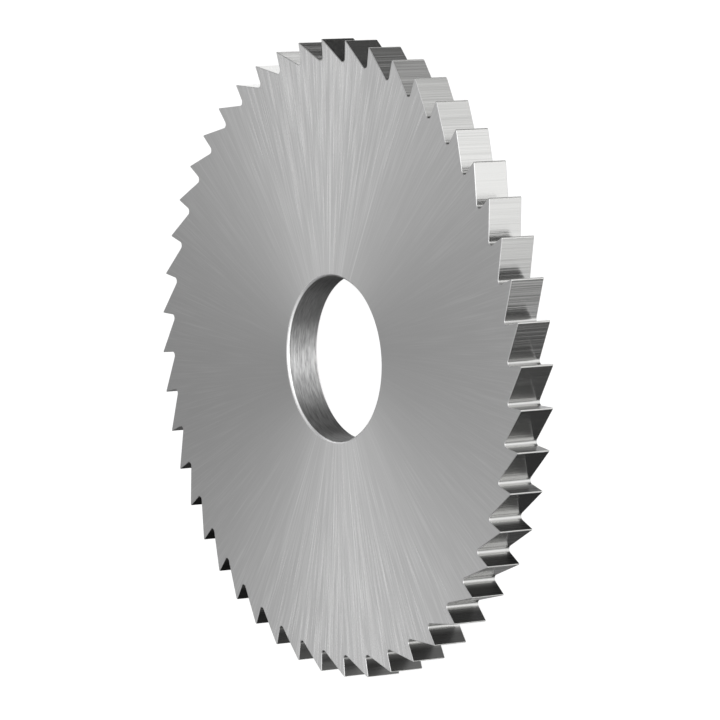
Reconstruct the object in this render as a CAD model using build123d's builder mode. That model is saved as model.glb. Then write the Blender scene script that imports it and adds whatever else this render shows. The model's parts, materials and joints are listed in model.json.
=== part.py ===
"""Metal slitting saw: one flat toothed disc with a plain centre bore.

The blade lies on its side with the bore axis along +Z. The origin is on that axis, in the plane
that the rim's lower corners rest on, and one cutting edge lies on +X. All lengths are in
millimetres and all angles in degrees.
"""

from build123d import *
from math import degrees, radians, sin
import os

os.makedirs("parts", exist_ok=True)

# Blade
outer_diameter = 50.0  # over the cutting edges
blade_width = 3.0  # width of the slot that it cuts, measured at the rim
bore_diameter = 13.0  # plain bore for the arbor, with no keyway
bore_chamfer = 0.15  # at both mouths of the bore
seat_diameter = 22.0  # flat ring that the arbor's collars clamp
side_relief = 0.05  # how far each side is ground hollow, from the rim in to the seat

# Teeth
tooth_count = 48
rake_angle = 2.5  # lean of the cutting face behind the radius through its edge
gullet_angle = 60.0  # between one tooth's cutting face and the back of the next
gullet_radius = 0.3  # at the bottom of each gullet
tip_land = 0.1  # narrow land left behind each cutting edge, along the rim
cutter_overrun = 1.0  # how far the gullet's cutter stands out past the rim

outer_radius = outer_diameter / 2
bore_radius = bore_diameter / 2
seat_radius = seat_diameter / 2

# One gullet runs from a cutting edge to the heel of the next tooth's land
pitch_angle = 360 / tooth_count
gap_angle = pitch_angle - degrees(tip_land / outer_radius)
cutting_edge = Vector(outer_radius, 0)
heel = cutting_edge.rotate(Axis.Z, gap_angle)

# Its corner follows from the triangle of cutting edge, heel and gullet corner
chord = (heel - cutting_edge).length
edge_corner = 90 + rake_angle - gap_angle / 2
heel_corner = 180 - gullet_angle - edge_corner
cutting_face = chord * sin(radians(heel_corner)) / sin(radians(gullet_angle))
inward = Vector(-1, 0).rotate(Axis.Z, rake_angle)
gullet_corner = cutting_edge + inward * cutting_face

with BuildSketch() as gullet:
    with BuildLine():
        outside = Vector(outer_radius + cutter_overrun, 0)
        Polyline(
            outside,
            cutting_edge,
            gullet_corner,
            heel,
            outside.rotate(Axis.Z, gap_angle),
            close=True,
        )
    make_face()
    fillet(gullet.vertices().sort_by_distance((0, 0, 0))[0], radius=gullet_radius)

with BuildPart() as saw_blade:
    # The disc's half section, widest at the rim so that the sides clear the slot
    with BuildSketch(Plane.XZ):
        with BuildLine():
            Polyline(
                (bore_radius, side_relief),
                (seat_radius, side_relief),
                (outer_radius, 0),
                (outer_radius, blade_width),
                (seat_radius, blade_width - side_relief),
                (bore_radius, blade_width - side_relief),
                close=True,
            )
        make_face()
    revolve(axis=Axis.Z)

    bore_wall = saw_blade.faces().filter_by(GeomType.CYLINDER).sort_by(SortBy.RADIUS)[0]
    chamfer(bore_wall.edges().filter_by(GeomType.CIRCLE), length=bore_chamfer)

    # The gullets are cut straight through, one after each cutting edge
    with BuildSketch():
        with PolarLocations(0, tooth_count):
            add(gullet.sketch)
    extrude(amount=blade_width, mode=Mode.SUBTRACT)

saw_blade.part.label = "saw_blade"
export_step(saw_blade.part, "parts/saw_blade.step")
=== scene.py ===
"""A ground steel slitting saw, dressed and lit as it lies on a pale floor.

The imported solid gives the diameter, the width and the bore. The blade here stands for that solid
and adds what is too fine for it: the rounded corners of the teeth and the grinding marks. Lengths
are in metres and angles in degrees, unless a name says otherwise.
"""

import json
import logging
import math
from dataclasses import dataclass
from enum import IntEnum
from typing import Sequence

import bmesh
import bpy
from mathutils import Matrix, Vector


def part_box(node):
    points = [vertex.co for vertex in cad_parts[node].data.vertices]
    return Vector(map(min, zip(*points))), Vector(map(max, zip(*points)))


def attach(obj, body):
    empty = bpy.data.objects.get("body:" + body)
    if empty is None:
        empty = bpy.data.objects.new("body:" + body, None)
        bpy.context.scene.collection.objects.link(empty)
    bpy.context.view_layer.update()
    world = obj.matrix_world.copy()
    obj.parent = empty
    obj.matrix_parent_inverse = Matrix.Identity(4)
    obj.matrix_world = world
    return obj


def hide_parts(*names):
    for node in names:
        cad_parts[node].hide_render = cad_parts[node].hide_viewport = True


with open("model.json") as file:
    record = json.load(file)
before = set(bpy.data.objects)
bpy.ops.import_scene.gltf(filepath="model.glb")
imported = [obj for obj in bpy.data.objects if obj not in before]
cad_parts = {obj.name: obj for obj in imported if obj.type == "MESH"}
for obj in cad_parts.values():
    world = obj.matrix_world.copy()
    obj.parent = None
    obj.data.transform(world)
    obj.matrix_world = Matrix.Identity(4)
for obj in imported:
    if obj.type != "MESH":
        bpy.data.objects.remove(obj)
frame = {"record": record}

LOG = logging.getLogger("slitting_saw")
NODE = "saw_blade"
BODY = "root"
MM = 0.001

Socket = bpy.types.NodeSocket
Value = float | Socket


class Surface(IntEnum):
    """The blade's kinds of surface, in the order of its material slots."""

    SIDE = 0
    BACK = 1
    FACE = 2
    GULLET = 3
    LAND = 4
    BORE = 5
    CHAMFER = 6
    CORNER = 7


FLANKS = {Surface.BACK, Surface.FACE, Surface.GULLET, Surface.LAND}  # shaded as one surface
ROUNDED = {Surface.LAND, Surface.CHAMFER, Surface.CORNER}  # shaded smooth at any turn
BLUR_SHARE = 0.5  # how much of the marks' height goes into the roughness
FINER_SHARE = 0.6  # how strong each finer layer of noise is beside the one before it


class Nodes:
    """Short calls that add nodes to a tree and wire them up."""

    def __init__(self, tree: bpy.types.NodeTree) -> None:
        """Empties the tree that every call adds to."""
        self.tree = tree
        tree.nodes.clear()

    def add(self, kind: str, **settings: object) -> bpy.types.Node:
        """Adds a node.

        Args:
            kind: the node's type, such as ShaderNodeMath.
            settings: attributes to set on it.

        Returns:
            The new node.
        """
        node = self.tree.nodes.new(kind)
        for name, value in settings.items():
            setattr(node, name, value)
        return node

    def feed(self, socket: Socket, value: object) -> None:
        """Links a socket to another one, or sets its value.

        Args:
            socket: the input to fill.
            value: an output socket, a number or a row of numbers.
        """
        if isinstance(value, bpy.types.NodeSocket):
            self.tree.links.new(value, socket)
        else:
            socket.default_value = value

    def math(self, operation: str, *values: Value) -> Socket:
        """One step of arithmetic.

        Args:
            operation: the Math node's operation.
            values: its inputs in order.

        Returns:
            The result.
        """
        node = self.add("ShaderNodeMath", operation=operation)
        for socket, value in zip(node.inputs, values):
            self.feed(socket, value)
        return node.outputs[0]

    def vector(self, operation: str, *values: object) -> Socket:
        """One step of vector arithmetic.

        Args:
            operation: the Vector Math node's operation.
            values: its vector inputs in order, or a vector and a scale.

        Returns:
            The result, a number for a dot product or a length.
        """
        node = self.add("ShaderNodeVectorMath", operation=operation)
        inputs = node.inputs
        if operation == "SCALE":
            self.feed(inputs["Vector"], values[0])
            self.feed(inputs["Scale"], values[1])
        else:
            for socket, value in zip(inputs, values):
                self.feed(socket, value)
        is_number = operation in ("DOT_PRODUCT", "LENGTH")
        return node.outputs["Value" if is_number else "Vector"]

    def combine(self, x: Value, y: Value, z: Value) -> Socket:
        """Joins three numbers into a vector.

        Args:
            x: the first number.
            y: the second.
            z: the third.

        Returns:
            The vector.
        """
        node = self.add("ShaderNodeCombineXYZ")
        for socket, value in zip(node.inputs, (x, y, z)):
            self.feed(socket, value)
        return node.outputs[0]

    def separate(self, vector: Socket) -> tuple[Socket, Socket, Socket]:
        """Splits a vector into its three numbers.

        Args:
            vector: what is split.

        Returns:
            The numbers along X, Y and Z.
        """
        node = self.add("ShaderNodeSeparateXYZ")
        self.feed(node.inputs[0], vector)
        return node.outputs[0], node.outputs[1], node.outputs[2]

    def noise(self, vector: Socket, detail: float) -> Socket:
        """Smooth noise about zero.

        Args:
            vector: where it is read, at a scale of one.
            detail: how many finer layers it has.

        Returns:
            A number from about -0.5 to 0.5.
        """
        node = self.add("ShaderNodeTexNoise", noise_dimensions="3D")
        self.feed(node.inputs["Vector"], vector)
        node.inputs["Scale"].default_value = 1.0
        node.inputs["Detail"].default_value = detail
        node.inputs["Roughness"].default_value = FINER_SHARE
        return self.math("SUBTRACT", node.outputs["Fac"], 0.5)

    def ramp(self, value: Value, low: float, high: float, start: float, end: float) -> Socket:
        """Maps one range smoothly to another.

        Args:
            value: what is mapped.
            low: where the change starts.
            high: where it ends.
            start: the result at low and below it.
            end: the result at high and above it.

        Returns:
            The mapped number.
        """
        node = self.add("ShaderNodeMapRange", interpolation_type="SMOOTHSTEP")
        for socket, number in zip(node.inputs, (value, low, high, start, end)):
            self.feed(socket, number)
        return node.outputs[0]


@dataclass(frozen=True)
class GroundSteel:
    """Bare steel with grinding marks in one direction, the base of every finish here.

    Attributes:
        name: the material's name.
        tone: how much light the steel gives back, for red, green and blue.
        roughness: how far it blurs what it mirrors.
        anisotropy: how much more it blurs across the marks than along them.
        tone_spread: how much the marks lighten and darken the steel.
        slope: how steeply the marks' walls lean, as a share of one.
        edge_tone: how much of the light it keeps where it is seen edge on.
    """

    name: str
    tone: tuple[float, float, float]
    roughness: float
    anisotropy: float
    tone_spread: float
    slope: float
    edge_tone: float = 1.0

    def material(self) -> bpy.types.Material:
        """Builds the finish.

        Returns:
            A material that reads the blade's own coordinates.
        """
        made = bpy.data.materials.new(self.name)
        made.use_nodes = True
        nodes = Nodes(made.node_tree)
        place = nodes.add("ShaderNodeTexCoord").outputs["Object"]
        facing = nodes.add("ShaderNodeNewGeometry").outputs["Normal"]
        across = self.across(nodes, place, facing)
        marks = self.marks(nodes, place)

        shader = nodes.add("ShaderNodeBsdfPrincipled")
        shader.inputs["Metallic"].default_value = 1.0
        shader.inputs["Anisotropic"].default_value = self.anisotropy
        nodes.feed(shader.inputs["Tangent"], across)
        nodes.feed(shader.inputs["Base Color"], self.colour(nodes, marks))
        nodes.feed(shader.inputs["Roughness"], self.blur(nodes, marks))
        shader.inputs["Specular Tint"].default_value = (self.edge_tone,) * 3 + (1.0,)
        lean = nodes.vector("SCALE", across, nodes.math("MULTIPLY", marks, self.slope))
        normal = nodes.vector("NORMALIZE", nodes.vector("ADD", facing, lean))
        nodes.feed(shader.inputs["Normal"], normal)

        output = nodes.add("ShaderNodeOutputMaterial")
        nodes.feed(output.inputs["Surface"], shader.outputs[0])
        return made

    def colour(self, nodes: Nodes, marks: Socket) -> Socket:
        """The steel's tone, lightened and darkened by the marks."""
        share = nodes.math("MULTIPLY_ADD", marks, self.tone_spread, 1.0)
        return nodes.vector("SCALE", self.tone, share)

    def blur(self, nodes: Nodes, marks: Socket) -> Socket:
        """The roughness, a little more in the deeper marks."""
        return nodes.math("MULTIPLY_ADD", marks, -self.roughness * BLUR_SHARE, self.roughness)

    def across(self, nodes: Nodes, place: Socket, facing: Socket) -> Socket:
        """The direction across the marks, along the surface."""
        raise NotImplementedError

    def marks(self, nodes: Nodes, place: Socket) -> Socket:
        """The marks' height about zero."""
        raise NotImplementedError


@dataclass(frozen=True)
class LineLayer:
    """One layer of grinding lines that run out from the bore.

    Attributes:
        lines: how many lines there are in a radian.
        length: how far a line runs before it changes.
        share: how strong the layer is.
        start: the distance from the axis where the layer comes in.
        full: where it reaches its full strength, which is at once unless it is set.
    """

    lines: float
    length: float
    share: float
    start: float = 0.0
    full: float = 0.001 * MM

    def relief(self, nodes: Nodes, course: Socket, out: Socket) -> Socket:
        """The layer's lines, raised above a plain ground.

        Args:
            nodes: the material's tree.
            course: the direction of the line that runs through a place.
            out: how far out along it the place lies.

        Returns:
            Zero between the lines, and up to about half the layer's share on them.
        """
        around = nodes.vector("SCALE", course, self.lines)
        along = nodes.math("DIVIDE", out, self.length)
        where = nodes.vector("ADD", around, nodes.combine(0.0, 0.0, along))
        raised = nodes.math("MAXIMUM", nodes.noise(where, detail=0.0), 0.0)
        return nodes.math("MULTIPLY", raised, nodes.ramp(out, self.start, self.full, 0.0, self.share))


@dataclass(frozen=True)
class RadialGrinding(GroundSteel):
    """The sides, ground in straight lines that run out to the teeth and just miss the bore's axis, with
    painted sheen along ±X.

    Attributes:
        offset: how far beside the axis the lines pass.
        layers: the layers of lines, from broad to fine.
        plain: how strong they all are at right angles to +X, where the sides catch little light and the
            painted sheen is weakest.
        fade: how fast they weaken from +X to there, as a power of the cosine between; this is painted
            sheen.
        painted_highlight_lines: directions of painted highlight lines in degrees, near ±X where the
            sheen peaks, each with its gain in brightness.
        streak_width: half the angle that such a line takes up.
        streak_fade: the distances from the axis between which such a line weakens.
        streak_end: how much of its gain it keeps from there on.
    """

    offset: float = 0.7 * MM
    layers: tuple[LineLayer, ...] = (
        LineLayer(lines=10.0, length=20 * MM, share=0.30),
        LineLayer(lines=28.0, length=10 * MM, share=0.40),
        LineLayer(lines=62.0, length=6 * MM, share=0.80),
        LineLayer(lines=130.0, length=5 * MM, share=1.50, start=5 * MM, full=13 * MM),
        LineLayer(lines=220.0, length=4 * MM, share=2.20, start=11 * MM, full=20 * MM),
    )
    plain: float = 0.15
    fade: float = 9.0
    painted_highlight_lines: tuple[tuple[float, float], ...] = (
        (-4.9, 0.30),
        (-18.9, 0.12),
        (-29.4, 0.16),
        (149.6, 0.10),
        (162.6, 0.18),
        (173.4, 0.22),
        (185.1, 0.16),
        (197.3, 0.14),
    )
    streak_width: float = 0.5
    streak_fade: tuple[float, float] = (10 * MM, 23 * MM)
    streak_end: float = 0.4

    def across(self, nodes: Nodes, place: Socket, facing: Socket) -> Socket:
        """Square to the lines."""
        return nodes.vector("CROSS_PRODUCT", (0, 0, 1), self.course(nodes, place))

    def course(self, nodes: Nodes, place: Socket) -> Socket:
        """The direction of the line that runs through a place, away from the axis.

        Args:
            nodes: the material's tree.
            place: the place in the blade's own coordinates.

        Returns:
            A unit vector level with the sides.
        """
        x, y, _ = nodes.separate(place)
        flat = nodes.combine(x, y, 0.0)
        sideways = nodes.vector("NORMALIZE", nodes.vector("CROSS_PRODUCT", (0, 0, 1), flat))
        shifted = nodes.vector("SUBTRACT", flat, nodes.vector("SCALE", sideways, self.offset))
        return nodes.vector("NORMALIZE", shifted)

    def marks(self, nodes: Nodes, place: Socket) -> Socket:
        """Fine bright lines among broad ones: real grinding lines, painted strongest along ±X as
        painted sheen.

        Args:
            nodes: the material's tree.
            place: the place in the blade's own coordinates.

        Returns:
            The height of all the layers together, from zero up, weakened away from ±X as painted sheen.
        """
        course = self.course(nodes, place)
        out = nodes.vector("DOT_PRODUCT", place, course)
        total: Value = 0.0
        for layer in self.layers:
            total = nodes.math("ADD", total, layer.relief(nodes, course, out))
        # painted sheen: the marks, in colour and in roughness, are kept strongest along ±X, where the
        # sides' sheen peaks
        eastward = nodes.math("ABSOLUTE", nodes.vector("DOT_PRODUCT", course, (1, 0, 0)))
        painted_sheen = nodes.math("POWER", eastward, self.fade)
        kept = nodes.math("MULTIPLY_ADD", painted_sheen, 1.0 - self.plain, self.plain)
        return nodes.math("MULTIPLY", total, kept)

    def colour(self, nodes: Nodes, marks: Socket) -> Socket:
        """The marked steel, with a few painted highlight lines near ±X.

        Args:
            nodes: the material's tree.
            marks: the marks' height.

        Returns:
            The base colour.
        """
        place = nodes.add("ShaderNodeTexCoord").outputs["Object"]
        course = self.course(nodes, place)
        edge = math.cos(math.radians(self.streak_width))
        # painted highlight: a few lines near ±X are painted brighter, and they weaken towards the rim
        painted_highlight_lines: Value = 0.0
        for streak, strength in self.painted_highlight_lines:
            angle = math.radians(streak)
            near = nodes.vector("DOT_PRODUCT", course, (math.cos(angle), math.sin(angle), 0))
            painted_highlight_lines = nodes.math("ADD", painted_highlight_lines, nodes.ramp(near, edge, 1.0, 0.0, strength))
        out = nodes.vector("DOT_PRODUCT", place, course)
        kept = nodes.ramp(out, *self.streak_fade, 1.0, self.streak_end)
        gain = nodes.math("MULTIPLY_ADD", painted_highlight_lines, kept, 1.0)
        return nodes.vector("SCALE", super().colour(nodes, marks), gain)


@dataclass(frozen=True)
class CrossGrinding(GroundSteel):
    """The tooth flanks, ground straight across the blade's width.

    Attributes:
        line_pitch: the distance from one line to the next.
        line_length: how far a line runs across the width.
    """

    line_pitch: float = 0.09 * MM
    line_length: float = 20 * MM

    def across(self, nodes: Nodes, place: Socket, facing: Socket) -> Socket:
        """Along the flank, level with the sides."""
        return nodes.vector("NORMALIZE", nodes.vector("CROSS_PRODUCT", facing, (0, 0, 1)))

    def marks(self, nodes: Nodes, place: Socket) -> Socket:
        """Lines that follow one another down the flank."""
        scale = (1 / self.line_pitch, 1 / self.line_pitch, 1 / self.line_length)
        return nodes.noise(nodes.vector("MULTIPLY", place, scale), detail=1.0)


@dataclass(frozen=True)
class FaceGrinding(CrossGrinding):
    """The cutting faces, whose colour is painted shade that darkens from the gullet out to the cutting
    edge.

    Attributes:
        gullet_painted_light_gain: how much lighter the painted shade is beside the gullet.
        root_radius: where the painted shade starts to darken, from the axis.
        painted_shade_radius: from where on it has the dark tone of its painted shade.
    """

    gullet_painted_light_gain: float = 4.0
    root_radius: float = 23.35 * MM
    painted_shade_radius: float = 24.2 * MM

    def colour(self, nodes: Nodes, marks: Socket) -> Socket:
        """The marked steel, painted lighter beside the gullet and dark towards the edge as painted
        shade.

        Args:
            nodes: the material's tree.
            marks: the marks' height about zero.

        Returns:
            The base colour.
        """
        place = nodes.add("ShaderNodeTexCoord").outputs["Object"]
        x, y, _ = nodes.separate(place)
        radius = nodes.vector("LENGTH", nodes.combine(x, y, 0.0))
        gain = nodes.ramp(radius, self.root_radius, self.painted_shade_radius, self.gullet_painted_light_gain, 1.0)
        return nodes.vector("SCALE", super().colour(nodes, marks), gain)


@dataclass(frozen=True)
class BoreGrinding(GroundSteel):
    """The bore's wall, ground round its axis.

    Attributes:
        line_pitch: the distance from one line to the next, along the axis.
        line_length: how far a line runs round the wall.
    """

    line_pitch: float = 0.12 * MM
    line_length: float = 1.0 * MM

    def across(self, nodes: Nodes, place: Socket, facing: Socket) -> Socket:
        """Along the axis."""
        return nodes.combine(0.0, 0.0, 1.0)

    def marks(self, nodes: Nodes, place: Socket) -> Socket:
        """Short lines round the wall."""
        scale = (1 / self.line_length, 1 / self.line_length, 1 / self.line_pitch)
        return nodes.noise(nodes.vector("MULTIPLY", place, scale), detail=3.0)


@dataclass(frozen=True)
class SmoothCorner(GroundSteel):
    """The narrow rounded and chamfered corners, smoother than the faces beside them.

    Attributes:
        nick_size: how far one small nick is from the next.
    """

    nick_size: float = 0.4 * MM

    def across(self, nodes: Nodes, place: Socket, facing: Socket) -> Socket:
        """Along the corner, level with the sides."""
        return nodes.vector("NORMALIZE", nodes.vector("CROSS_PRODUCT", facing, (0, 0, 1)))

    def marks(self, nodes: Nodes, place: Socket) -> Socket:
        """Small nicks."""
        return nodes.noise(nodes.vector("SCALE", place, 1 / self.nick_size), detail=2.0)


FINISHES: dict[Surface, GroundSteel] = {
    Surface.SIDE: RadialGrinding(
        name="radial_ground_side",
        tone=(0.52, 0.52, 0.52),
        roughness=0.32,
        anisotropy=0.90,
        tone_spread=0.70,
        slope=0.0,
    ),
    Surface.BACK: CrossGrinding(
        name="ground_tooth_back",
        tone=(0.63, 0.63, 0.62),
        roughness=0.20,
        anisotropy=0.80,
        tone_spread=0.10,
        slope=0.34,
    ),
    # painted shade: the cutting faces' steel is given a dark tone, lighter beside the gullet
    Surface.FACE: FaceGrinding(
        name="ground_cutting_face_painted_shade",
        tone=(0.12, 0.12, 0.118),
        roughness=0.29,
        anisotropy=0.42,
        tone_spread=0.20,
        slope=0.10,
    ),
    Surface.GULLET: CrossGrinding(
        name="ground_gullet",
        tone=(0.63, 0.63, 0.62),
        roughness=0.25,
        anisotropy=0.60,
        tone_spread=0.10,
        slope=0.10,
    ),
    Surface.LAND: CrossGrinding(
        name="honed_tooth_land",
        tone=(0.66, 0.66, 0.65),
        roughness=0.60,
        anisotropy=0.0,
        tone_spread=0.10,
        slope=0.10,
    ),
    Surface.BORE: BoreGrinding(
        name="ground_bore",
        tone=(0.395, 0.395, 0.395),
        roughness=0.42,
        anisotropy=0.95,
        tone_spread=1.50,
        slope=0.40,
        edge_tone=0.3,
    ),
    # painted highlight: the chamfer's steel is given a lighter tone than the steel round it
    Surface.CHAMFER: SmoothCorner(
        name="turned_chamfer_painted_highlight",
        tone=(0.92, 0.92, 0.92),
        roughness=0.30,
        anisotropy=0.0,
        tone_spread=0.10,
        slope=0.05,
    ),
    Surface.CORNER: SmoothCorner(
        name="smooth_corner",
        tone=(0.55, 0.55, 0.55),
        roughness=0.30,
        anisotropy=0.0,
        tone_spread=0.10,
        slope=0.05,
    ),
}


@dataclass(frozen=True)
class ToothForm:
    """One tooth and half of the gullet on each side of it, seen along the bore's axis.

    The tooth's cutting edge lies on +X and its cutting face looks anticlockwise.

    Attributes:
        outer_radius: from the axis to the cutting edge.
        count: how many teeth the blade has.
        rake: lean of the cutting face behind the radius through its edge.
        gullet_angle: between a cutting face and the back of the next tooth.
        gullet_radius: at the bottom of each gullet.
        tip_land: length of the land behind each cutting edge.
        arc_steps: straight steps that make half of a gullet's bottom.
        flat_end: length of flank beside the gullet's bottom that takes up its shading.
        tip_end: length of flank beside the land that takes up its shading.
    """

    outer_radius: float
    count: int = 48
    rake: float = 2.5
    gullet_angle: float = 60.0
    gullet_radius: float = 0.3 * MM
    tip_land: float = 0.1 * MM
    arc_steps: int = 12
    flat_end: float = 0.06 * MM
    tip_end: float = 0.03 * MM

    @property
    def kinds(self) -> list[Surface]:
        """The surface along each straight stretch of the outline.

        Returns:
            One kind for each stretch, anticlockwise round the axis.
        """
        gullet = [Surface.GULLET] * (self.arc_steps + 1)
        land = [Surface.LAND] * 3  # the land itself and the end of the flank on each side of it
        return [*gullet, Surface.BACK, *land, Surface.FACE, *gullet]

    @property
    def pitch(self) -> float:
        """Angle from one tooth to the next, in radians."""
        return 2 * math.pi / self.count

    def turned(self, point: Vector, angle: float) -> Vector:
        """The point turned round the axis, by an angle in radians."""
        return Matrix.Rotation(angle, 2) @ point

    def gullet_centre(self) -> Vector:
        """Centre of the round bottom of the gullet in front of the tooth.

        Returns:
            A point that lies the gullet's radius from the cutting face and from the next back.
        """
        edge = Vector((self.outer_radius, 0))
        gap = self.pitch - self.tip_land / self.outer_radius
        heel = self.turned(edge, gap)
        chord = (heel - edge).length
        edge_corner = math.pi / 2 + math.radians(self.rake) - gap / 2
        heel_corner = math.pi - math.radians(self.gullet_angle) - edge_corner
        face = chord * math.sin(heel_corner) / math.sin(math.radians(self.gullet_angle))
        corner = edge - self.turned(Vector((face, 0)), math.radians(self.rake))
        middle = math.radians(self.rake + self.gullet_angle / 2)
        reach = self.gullet_radius / math.sin(math.radians(self.gullet_angle / 2))
        return corner + self.turned(Vector((reach, 0)), middle)

    def gullet_floor(self, inset: float) -> list[Vector]:
        """The round bottom of the gullet in front of the tooth.

        Args:
            inset: how far into the steel the line is drawn.

        Returns:
            Points from the end of the cutting face to the start of the next tooth's back.
        """
        centre = self.gullet_centre()
        start = math.radians(self.rake - 90)
        sweep = math.radians(180 - self.gullet_angle)
        spoke = Vector((self.gullet_radius + inset, 0))
        steps = 2 * self.arc_steps
        return [centre + self.turned(spoke, start - sweep * i / steps) for i in range(steps + 1)]

    def outline(self, inset: float = 0.0) -> list[Vector]:
        """The tooth's outline, from the middle of one gullet to the middle of the next.

        Args:
            inset: how far into the steel the outline is drawn.

        Returns:
            As many points for every inset, anticlockwise round the axis.
        """
        ahead = self.gullet_floor(inset)
        behind = [self.turned(p, -self.pitch) for p in ahead]
        back_start = behind[-1]
        face_end = ahead[0]
        back_way = math.radians(self.rake + self.gullet_angle) - self.pitch
        face_way = math.radians(self.rake)
        edge = Vector((self.outer_radius, 0))
        heel = self.turned(edge, -self.tip_land / self.outer_radius)
        land = (edge - heel).normalized()
        land_point = heel + Vector((-land.y, land.x)) * inset
        land_way = math.atan2(land.y, land.x)
        inner_heel = self.crossing(back_start, back_way, land_point, land_way)
        inner_edge = self.crossing(face_end, face_way, land_point, land_way)
        if (inner_edge - inner_heel).dot(land) <= 0:
            inner_heel = self.crossing(back_start, back_way, face_end, face_way)
            inner_edge = inner_heel.copy()
        half = self.arc_steps
        back_near = back_start + self.turned(Vector((self.flat_end, 0)), back_way)
        back_far = inner_heel - self.turned(Vector((self.tip_end, 0)), back_way)
        face_near = face_end + self.turned(Vector((self.flat_end, 0)), face_way)
        face_far = inner_edge - self.turned(Vector((self.tip_end, 0)), face_way)
        rise = [*behind[half:], back_near, back_far, inner_heel]
        return [*rise, inner_edge, face_far, face_near, *ahead[: half + 1]]

    @staticmethod
    def crossing(first: Vector, first_way: float, second: Vector, second_way: float) -> Vector:
        """Where two lines cross.

        Args:
            first: a point on the first line.
            first_way: the first line's direction, in radians.
            second: a point on the second line.
            second_way: the second line's direction, in radians.

        Returns:
            The point that both lines run through.
        """
        u = Vector((math.cos(first_way), math.sin(first_way)))
        v = Vector((math.cos(second_way), math.sin(second_way)))
        gap = second - first
        distance = (gap.x * v.y - gap.y * v.x) / (u.x * v.y - u.y * v.x)
        return first + u * distance


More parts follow.
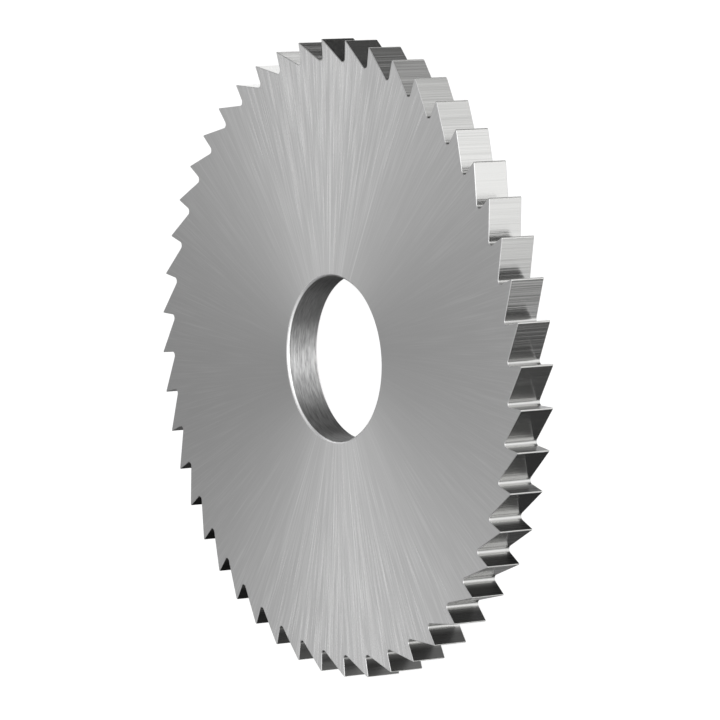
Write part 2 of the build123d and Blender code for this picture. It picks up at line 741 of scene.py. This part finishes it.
@dataclass
class SawBlade:
    """The whole blade: one tooth's slice of the disc, repeated round the bore's axis.

    Attributes:
        width: the blade's width at the rim.
        bore_radius: from the axis to the bore's wall.
        seat_relief: how much lower the seat lies than the rim, on each side.
        form: the tooth's outline.
        seat_radius: outer radius of the flat ring round the bore.
        bore_chamfer: size of the chamfer at both mouths of the bore.
        mouth_end: width of wall and side beside a chamfer that take up its shading.
        corner_radius: radius of the rounded corner between a side and the tooth flanks.
        corner_steps: straight steps in that corner.
        root_share: how much of the radius lies inside the ring that carries the teeth.
        weld: points nearer than this are joined where two slices meet.
        sharp_turn: a flat surface that turns by more than this along an edge is shaded sharp there.
    """

    width: float
    bore_radius: float
    seat_relief: float
    form: ToothForm
    seat_radius: float = 11 * MM
    bore_chamfer: float = 0.15 * MM
    mouth_end: float = 0.02 * MM
    corner_radius: float = 0.05 * MM
    corner_steps: int = 3
    root_share: float = 0.915
    weld: float = 0.001 * MM
    sharp_turn: float = 25.0

    @classmethod
    def from_frame(cls) -> "SawBlade":
        """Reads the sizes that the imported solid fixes.

        Returns:
            A blade of the solid's diameter, width, bore and seat height.
        """
        low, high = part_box(NODE)
        mounts = {mount["name"]: mount for mount in frame["record"]["mounts"]}
        return cls(
            width=high.z - low.z,
            bore_radius=mounts["bore"]["dims"]["r_mm"] * MM,
            seat_relief=high.z - mounts["upper_seat"]["pos_m"][2],
            form=ToothForm(outer_radius=high.x),
        )

    def side_drop(self, radius: float) -> float:
        """How far below the rim's level a side lies, at a distance from the axis."""
        share = (self.form.outer_radius - radius) / (self.form.outer_radius - self.seat_radius)
        return self.seat_relief * min(max(share, 0.0), 1.0)

    def ring(self, radius: float, drop: float) -> list[Vector]:
        """Points round the axis, one for each point of the tooth's outline.

        Args:
            radius: the ring's radius.
            drop: how far it lies below the upper side at that radius.

        Returns:
            The points, as far round as the tooth's outline reaches.
        """
        ends = self.form.outline()
        last = math.atan2(ends[-1].y, ends[-1].x)
        steps = len(ends) - 1
        height = self.width - self.side_drop(radius) - drop
        angles = [last - self.form.pitch * (1 - i / steps) for i in range(steps + 1)]
        return [Vector((radius * math.cos(a), radius * math.sin(a), height)) for a in angles]

    def rim(self, inset: float, drop: float) -> list[Vector]:
        """The tooth's outline in space, drawn into the steel and some way below the upper side."""
        points = self.form.outline(inset)
        return [Vector((p.x, p.y, self.width - self.side_drop(p.length) - drop)) for p in points]

    def upper_lines(self) -> list[tuple[list[Vector], Surface | None]]:
        """The lines that shape the upper half, from the bore's wall out to the tooth flanks.

        Returns:
            Each line with the surface that leads on from it, which is none at the tooth flanks.
        """
        mouth = self.bore_radius + self.bore_chamfer
        root = self.form.outer_radius * self.root_share
        lines = [
            (self.ring(self.bore_radius, self.bore_chamfer + self.mouth_end), Surface.CHAMFER),
            (self.ring(self.bore_radius, self.bore_chamfer), Surface.CHAMFER),
            (self.ring(mouth, 0.0), Surface.CHAMFER),
            (self.ring(mouth + self.mouth_end, 0.0), Surface.SIDE),
            (self.ring(self.seat_radius, 0.0), Surface.SIDE),
            (self.ring(root, 0.0), Surface.SIDE),
        ]
        for step in range(self.corner_steps + 1):
            turn = math.pi / 2 * step / self.corner_steps
            inset = self.corner_radius * (1 - math.sin(turn))
            drop = self.corner_radius * (1 - math.cos(turn))
            leads_to = Surface.CORNER if step < self.corner_steps else None
            lines.append((self.rim(inset, drop), leads_to))
        return lines

    def slice_mesh(self) -> bpy.types.Mesh:
        """Builds one tooth's slice of the blade.

        Returns:
            An open mesh with a surface kind on every face, and sharp edges where shading breaks.
        """
        upper = self.upper_lines()
        lower = [([Vector((p.x, p.y, self.width - p.z)) for p in line], kind) for line, kind in upper]
        loop = upper + [(line, None) for line, _ in reversed(lower)]
        kinds = [kind for _, kind in upper] + [kind for _, kind in reversed(lower[:-1])]
        kinds.append(Surface.BORE)

        mesh = bmesh.new()
        kind_layer = mesh.faces.layers.int.new("surface")
        rows = [[mesh.verts.new(p) for p in line] for line, _ in loop]
        flank_kinds = self.form.kinds
        for index, kind in enumerate(kinds):
            row, following = rows[index], rows[(index + 1) % len(rows)]
            for i in range(len(row) - 1):
                corners = (row[i], following[i], following[i + 1], row[i + 1])
                own_kind = flank_kinds[i] if kind is None else kind
                mesh.faces.new(corners)[kind_layer] = int(own_kind)
        bmesh.ops.remove_doubles(mesh, verts=mesh.verts, dist=self.weld)
        bmesh.ops.dissolve_degenerate(mesh, edges=mesh.edges, dist=self.weld)
        for face in mesh.faces:
            face.smooth = True
        for edge in mesh.edges:
            if len(edge.link_faces) == 2:
                kinds_here = {face[kind_layer] for face in edge.link_faces}
                turns = edge.calc_face_angle(0.0) > math.radians(self.sharp_turn)
                is_round = bool(kinds_here & ROUNDED)
                is_alike = len(kinds_here) == 1 or kinds_here <= FLANKS
                edge.smooth = is_alike and (is_round or not turns)
        made = bpy.data.meshes.new("tooth_slice")
        mesh.to_mesh(made)
        mesh.free()
        return made

    def ring_tree(self, materials: Sequence[bpy.types.Material]) -> bpy.types.GeometryNodeTree:
        """Builds the tree that repeats a slice round the axis and gives it its finishes.

        Args:
            materials: one for each kind of surface, in order.

        Returns:
            A tree with inputs for the number of teeth and the weld distance.
        """
        tree = bpy.data.node_groups.new("tooth_ring", "GeometryNodeTree")
        sockets = tree.interface
        sockets.new_socket("Slice", in_out="INPUT", socket_type="NodeSocketGeometry")
        sockets.new_socket("Teeth", in_out="INPUT", socket_type="NodeSocketInt")
        sockets.new_socket("Weld", in_out="INPUT", socket_type="NodeSocketFloat")
        sockets.new_socket("Blade", in_out="OUTPUT", socket_type="NodeSocketGeometry")
        nodes = Nodes(tree)
        given = nodes.add("NodeGroupInput").outputs

        angle = nodes.math("DIVIDE", 2 * math.pi, given["Teeth"])
        turn = nodes.math("MULTIPLY", nodes.add("GeometryNodeInputIndex").outputs[0], angle)
        points = nodes.add("GeometryNodePoints")
        nodes.feed(points.inputs["Count"], given["Teeth"])
        copies = nodes.add("GeometryNodeInstanceOnPoints")
        nodes.feed(copies.inputs["Points"], points.outputs[0])
        nodes.feed(copies.inputs["Instance"], given["Slice"])
        nodes.feed(copies.inputs["Rotation"], nodes.combine(0.0, 0.0, turn))
        realized = nodes.add("GeometryNodeRealizeInstances")
        nodes.feed(realized.inputs[0], copies.outputs[0])
        welded = nodes.add("GeometryNodeMergeByDistance")
        nodes.feed(welded.inputs["Geometry"], realized.outputs[0])
        nodes.feed(welded.inputs["Distance"], given["Weld"])

        kind = nodes.add("GeometryNodeInputNamedAttribute", data_type="INT")
        kind.inputs["Name"].default_value = "surface"
        dressed = welded.outputs[0]
        for surface in Surface:
            chosen = nodes.add("FunctionNodeCompare", data_type="INT", operation="EQUAL")
            nodes.feed(chosen.inputs["A"], kind.outputs["Attribute"])
            chosen.inputs["B"].default_value = int(surface)
            dress = nodes.add("GeometryNodeSetMaterial")
            nodes.feed(dress.inputs["Geometry"], dressed)
            nodes.feed(dress.inputs["Selection"], chosen.outputs[0])
            dress.inputs["Material"].default_value = materials[surface]
            dressed = dress.outputs[0]
        output = nodes.add("NodeGroupOutput")
        nodes.feed(output.inputs[0], dressed)
        return tree

    def build(self) -> bpy.types.Object:
        """Builds and dresses the blade.

        Returns:
            A closed mesh at the origin, riding on its body in place of the solid.
        """
        materials = [FINISHES[surface].material() for surface in Surface]
        slice_mesh = self.slice_mesh()
        source = bpy.data.objects.new("tooth_slice", slice_mesh)
        bpy.context.scene.collection.objects.link(source)
        modifier = source.modifiers.new("tooth_ring", "NODES")
        modifier.node_group = self.ring_tree(materials)
        given = {"Teeth": self.form.count, "Weld": self.weld}
        for item in modifier.node_group.interface.items_tree:
            if item.in_out == "INPUT" and item.name in given:
                modifier[item.identifier] = given[item.name]
        bpy.context.view_layer.update()
        evaluated = source.evaluated_get(bpy.context.evaluated_depsgraph_get())
        mesh = bpy.data.meshes.new_from_object(evaluated)
        mesh.name = "ground_blade"
        mesh.materials.pop(index=0)  # an empty slot for faces without a finish, of which there are none
        bpy.data.objects.remove(source)
        bpy.data.meshes.remove(slice_mesh)

        blade = bpy.data.objects.new("ground_blade", mesh)
        bpy.context.scene.collection.objects.link(blade)
        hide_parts(NODE)
        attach(blade, BODY)
        LOG.info("%s: %d faces, %d teeth", blade.name, len(mesh.polygons), self.form.count)
        return blade


@dataclass(frozen=True)
class Panel:
    """A soft white panel of the studio, far away, round as seen from the blade.

    Attributes:
        azimuth: its direction round +Z, from +X.
        elevation: its height above the horizon.
        inner: half the angle across its evenly bright middle.
        outer: half the angle across all of it, with its soft edge.
        strength: its brightness, where 1 is white.
    """

    azimuth: float
    elevation: float
    inner: float
    outer: float
    strength: float

    def direction(self) -> tuple[float, float, float]:
        """The unit vector towards the panel's middle."""
        a, e = math.radians(self.azimuth), math.radians(self.elevation)
        return math.cos(e) * math.cos(a), math.cos(e) * math.sin(a), math.sin(e)

    def glow(self, nodes: Nodes, way: Socket) -> Socket:
        """The panel's brightness seen along a direction.

        Args:
            nodes: the world's tree.
            way: the direction, as a unit vector.

        Returns:
            Its strength in the middle, and zero beyond its soft edge.
        """
        facing = nodes.vector("DOT_PRODUCT", way, self.direction())
        edge = math.cos(math.radians(self.outer))
        middle = math.cos(math.radians(self.inner))
        return nodes.ramp(facing, edge, middle, 0.0, self.strength)


@dataclass(frozen=True)
class Arch:
    """A long white strip of the studio, upright in front of the blade or behind it.

    Attributes:
        azimuth: the direction of the front horizon round +Z, from +X.
        inner: half the angle across its evenly bright middle.
        outer: half the angle across all of it, with its soft edges.
        start: where it starts to glow, in degrees up from the front horizon and on to the back.
        full: where it glows in full.
        fade: where it starts to fade.
        end: where it ends.
        strength: its brightness, where 1 is white.
    """

    azimuth: float
    inner: float
    outer: float
    start: float
    full: float
    fade: float
    end: float
    strength: float

    def glow(self, nodes: Nodes, way: Socket) -> Socket:
        """The strip's brightness seen along a direction.

        Args:
            nodes: the world's tree.
            way: the direction, as a unit vector.

        Returns:
            Its strength in the middle, and zero beyond its soft edges and ends.
        """
        a = math.radians(self.azimuth)
        sideways = nodes.vector("DOT_PRODUCT", way, (-math.sin(a), math.cos(a), 0))
        forward = nodes.vector("DOT_PRODUCT", way, (math.cos(a), math.sin(a), 0))
        upward = nodes.vector("DOT_PRODUCT", way, (0, 0, 1))
        along = nodes.math("DEGREES", nodes.math("ARCTAN2", upward, forward))
        inner, outer = math.sin(math.radians(self.inner)), math.sin(math.radians(self.outer))
        across = nodes.ramp(nodes.math("ABSOLUTE", sideways), inner, outer, self.strength, 0.0)
        risen = nodes.ramp(along, self.start, self.full, 0.0, 1.0)
        kept = nodes.ramp(along, self.fade, self.end, 1.0, 0.0)
        return nodes.math("MULTIPLY", across, nodes.math("MULTIPLY", risen, kept))


@dataclass(frozen=True)
class Studio:
    """The floor, and the surround that lights the blade and that the steel mirrors.

    Attributes:
        surround: brightness of the studio above the horizon, away from its panels.
        underside: its brightness below the horizon.
        horizon: how far above and below the horizon the two blend, as a height on a unit sphere.
        panels: the studio's soft white panels and its two strips, in front and behind.
        floor_tone: the floor's colour.
        floor_radius: the floor's reach.
        floor_sides: how many straight sides it has.
        floor_glow: how much of the floor's white doesn't depend on the light on it.
        floor_white: how bright that part is, so that the floor beside the shadow shows white.
    """

    surround: float = 0.31
    underside: float = 0.03
    horizon: float = 0.15
    panels: tuple[Panel | Arch, ...] = (
        # the two strips, for the bright fans on the sides
        Arch(
            azimuth=-85.5,
            inner=7.0,
            outer=24.0,
            start=-60.0,
            full=8.0,
            fade=40.0,
            end=75.0,
            strength=1.04,
        ),
        Arch(
            azimuth=-85.5,
            inner=7.0,
            outer=24.0,
            start=93.0,
            full=118.0,
            fade=133.0,
            end=151.0,
            strength=1.12,
        ),
        # low in front and low behind, for the tooth flanks and the bore's wall
        Panel(azimuth=-79.0, elevation=-18.0, inner=18.0, outer=65.5, strength=1.00),
        Panel(azimuth=95.0, elevation=-24.0, inner=15.0, outer=37.0, strength=0.32),
        # small and bright, behind on the side of +X, for the teeth there
        Panel(azimuth=63.0, elevation=-34.0, inner=12.0, outer=18.5, strength=1.15),
        Panel(azimuth=50.0, elevation=0.0, inner=12.0, outer=30.0, strength=0.80),
        # higher up in front and on both sides, for the chamfer round the bore
        Panel(azimuth=-86.0, elevation=40.0, inner=26.0, outer=60.0, strength=0.85),
        Panel(azimuth=-5.0, elevation=38.0, inner=14.0, outer=34.0, strength=0.45),
        Panel(azimuth=-167.0, elevation=38.0, inner=14.0, outer=34.0, strength=0.45),
        # faint, for the darkest tooth backs
        Panel(azimuth=-10.0, elevation=-34.0, inner=2.0, outer=21.0, strength=0.06),
        Panel(azimuth=-158.0, elevation=-34.0, inner=2.0, outer=20.0, strength=0.04),
        # straight below, for the floor's white
        Panel(azimuth=0.0, elevation=-90.0, inner=15.0, outer=50.0, strength=0.90),
    )
    floor_tone: tuple[float, float, float, float] = (0.92, 0.92, 0.92, 1.0)
    floor_radius: float = 3.0
    floor_sides: int = 64
    floor_glow: float = 0.7
    floor_white: float = 1.22

    def build(self) -> None:
        """Builds the surround and the floor."""
        self.build_surround()
        self.build_floor()
        LOG.info("studio: %d panels", len(self.panels))

    def build_surround(self) -> None:
        """A grey room with soft white panels, which every ray sees alike."""
        world = bpy.data.worlds.new("studio")
        world.use_nodes = True
        bpy.context.scene.world = world
        nodes = Nodes(world.node_tree)
        way = nodes.add("ShaderNodeTexCoord").outputs["Generated"]
        _, _, height = nodes.separate(way)
        light: Value = nodes.ramp(height, -self.horizon, self.horizon, self.underside, self.surround)
        for panel in self.panels:
            light = nodes.math("ADD", light, panel.glow(nodes, way))
        room = nodes.add("ShaderNodeBackground")
        room.inputs["Color"].default_value = (1.0, 1.0, 1.0, 1.0)
        nodes.feed(room.inputs["Strength"], light)
        output = nodes.add("ShaderNodeOutputWorld")
        nodes.feed(output.inputs["Surface"], room.outputs[0])

    def build_floor(self) -> None:
        """A plain pale disc that shows white and keeps the blade's shadow."""
        mesh = bmesh.new()
        sides, radius = self.floor_sides, self.floor_radius
        bmesh.ops.create_circle(mesh, cap_ends=True, segments=sides, radius=radius)
        made = bpy.data.meshes.new("floor")
        mesh.to_mesh(made)
        mesh.free()
        floor = bpy.data.objects.new("floor", made)
        bpy.context.scene.collection.objects.link(floor)

        material = bpy.data.materials.new("pale_floor")
        material.use_nodes = True
        nodes = Nodes(material.node_tree)
        matt = nodes.add("ShaderNodeBsdfDiffuse")
        matt.inputs["Color"].default_value = self.floor_tone
        white = nodes.add("ShaderNodeEmission")
        white.inputs["Strength"].default_value = self.floor_white
        mix = nodes.add("ShaderNodeMixShader")
        for socket, value in zip(mix.inputs, (self.floor_glow, matt.outputs[0], white.outputs[0])):
            nodes.feed(socket, value)
        output = nodes.add("ShaderNodeOutputMaterial")
        nodes.feed(output.inputs["Surface"], mix.outputs[0])
        made.materials.append(material)
        floor.visible_glossy = False
        floor.visible_shadow = False


@dataclass(frozen=True)
class Camera:
    """The camera, in the photograph's direction and turned to the photograph's framing.

    Attributes:
        azimuth: its direction round +Z from the aim, from +X.
        elevation: its height above the horizon.
        distance: from the aim.
        roll: how far the picture is turned about the line of sight.
        lens: its focal length in millimetres.
        sensor: the width of its picture in millimetres.
        aim: the point in the middle of the picture.
        near: nothing nearer than this is drawn.
    """

    azimuth: float = -86.415
    elevation: float = 34.09
    distance: float = 389.5 * MM
    roll: float = -94.098
    lens: float = 250.9
    sensor: float = 36.0
    aim: tuple[float, float, float] = (0.0, -3.777 * MM, 3.0 * MM)
    near: float = 10 * MM

    def build(self) -> bpy.types.Object:
        """Builds the camera and makes it the scene's own.

        Returns:
            The camera.
        """
        data = bpy.data.cameras.new("photo_view")
        data.lens = self.lens
        data.sensor_width = self.sensor
        data.clip_start = self.near
        camera = bpy.data.objects.new("photo_view", data)
        a, e = math.radians(self.azimuth), math.radians(self.elevation)
        back = Vector((math.cos(e) * math.cos(a), math.cos(e) * math.sin(a), math.sin(e)))
        level = (-back).to_track_quat("-Z", "Y").to_matrix().to_4x4()
        turned = level @ Matrix.Rotation(math.radians(self.roll), 4, "Z")
        camera.matrix_world = Matrix.Translation(Vector(self.aim) + back * self.distance) @ turned
        bpy.context.scene.collection.objects.link(camera)
        bpy.context.scene.camera = camera
        LOG.info("camera: %.0f mm lens, %.0f mm away", self.lens, self.distance / MM)
        return camera


def main() -> None:
    """Builds the blade, the studio and the camera."""
    logging.basicConfig(level=logging.INFO, format="%(name)s: %(message)s")
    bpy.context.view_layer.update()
    SawBlade.from_frame().build()
    Studio().build()
    Camera().build()
    bpy.context.scene.view_settings.view_transform = "Standard"


if __name__ == "__main__":
    main()
